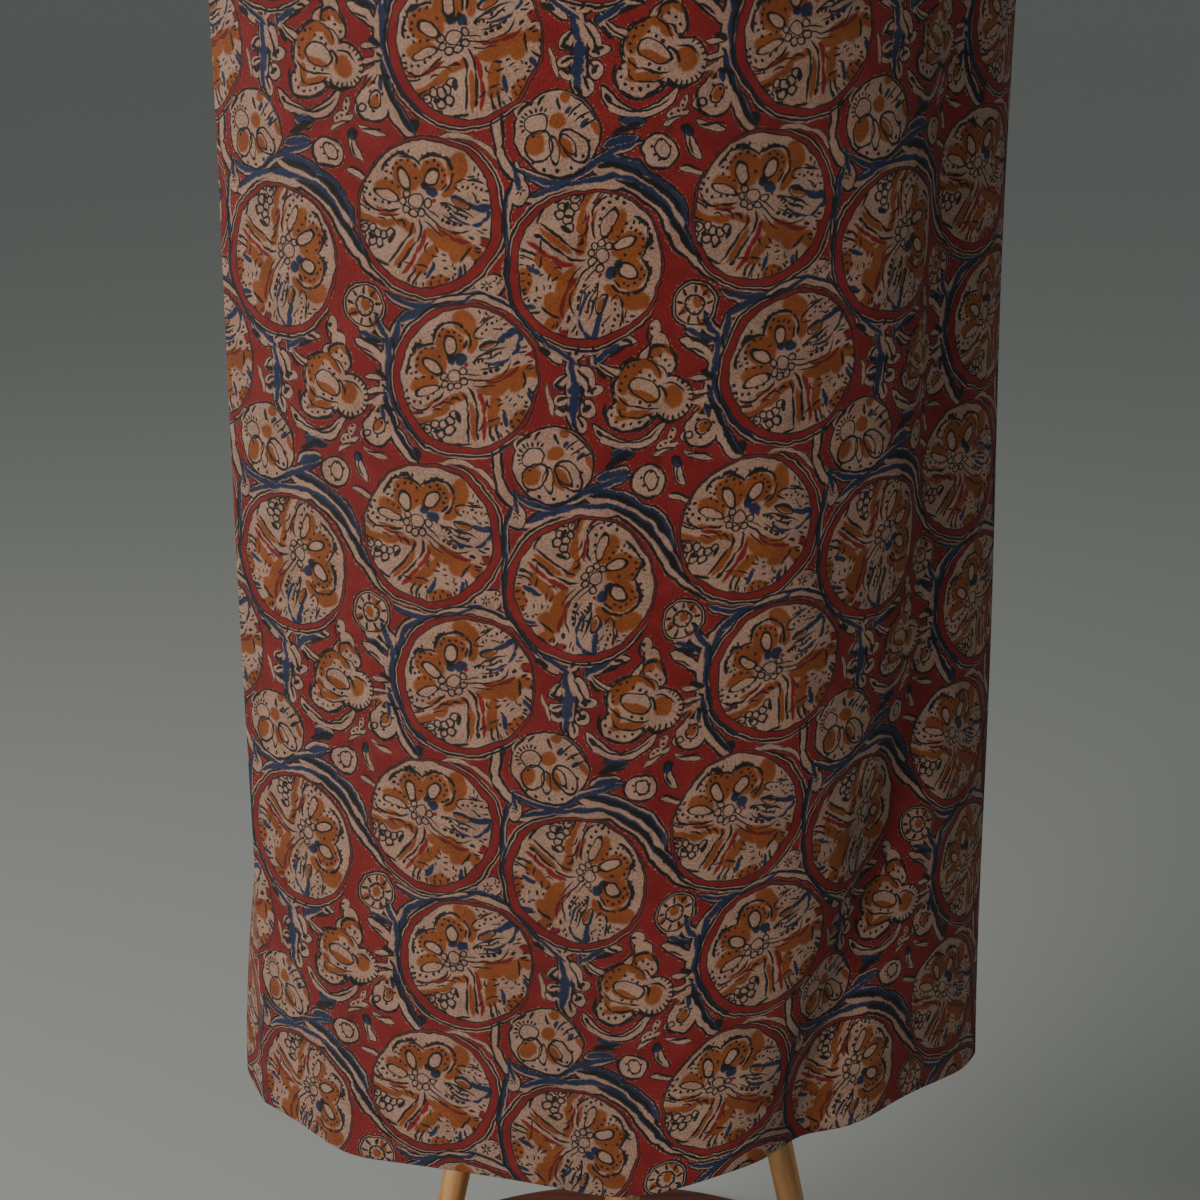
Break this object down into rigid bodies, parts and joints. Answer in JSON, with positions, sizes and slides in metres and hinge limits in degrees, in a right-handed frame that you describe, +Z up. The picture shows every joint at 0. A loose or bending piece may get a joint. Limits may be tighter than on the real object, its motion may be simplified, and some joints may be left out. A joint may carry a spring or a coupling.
{
  "type": "folded kalamkari cloth on a bow-fronted wooden display stand",
  "caption": "Block-printed kalamkari cotton panel, folded in half end to end and hung over the bow rail of a plain wooden display stand on a round base.",
  "frame": {"origin": "on the floor, under the middle of the round base", "axes": "+Z up, the panel hangs on the -Y side, +X to the right of someone who faces it"},
  "size_m": [0.632, 0.632, 1.2568],
  "materials": {
    "printed_cotton": "matt",
    "pale_wood": "satin",
    "dark_wood": "satin"
  },
  "bodies": {
    "root": {"kalamkari_cloth": "printed_cotton", "bow_rail": "pale_wood", "cross_bar": "pale_wood", "post": "pale_wood", "collar": "pale_wood", "leg_1": "pale_wood", "leg_2": "pale_wood", "leg_3": "pale_wood", "leg_4": "pale_wood", "base_board": "dark_wood"}
  },
  "joints": []
}
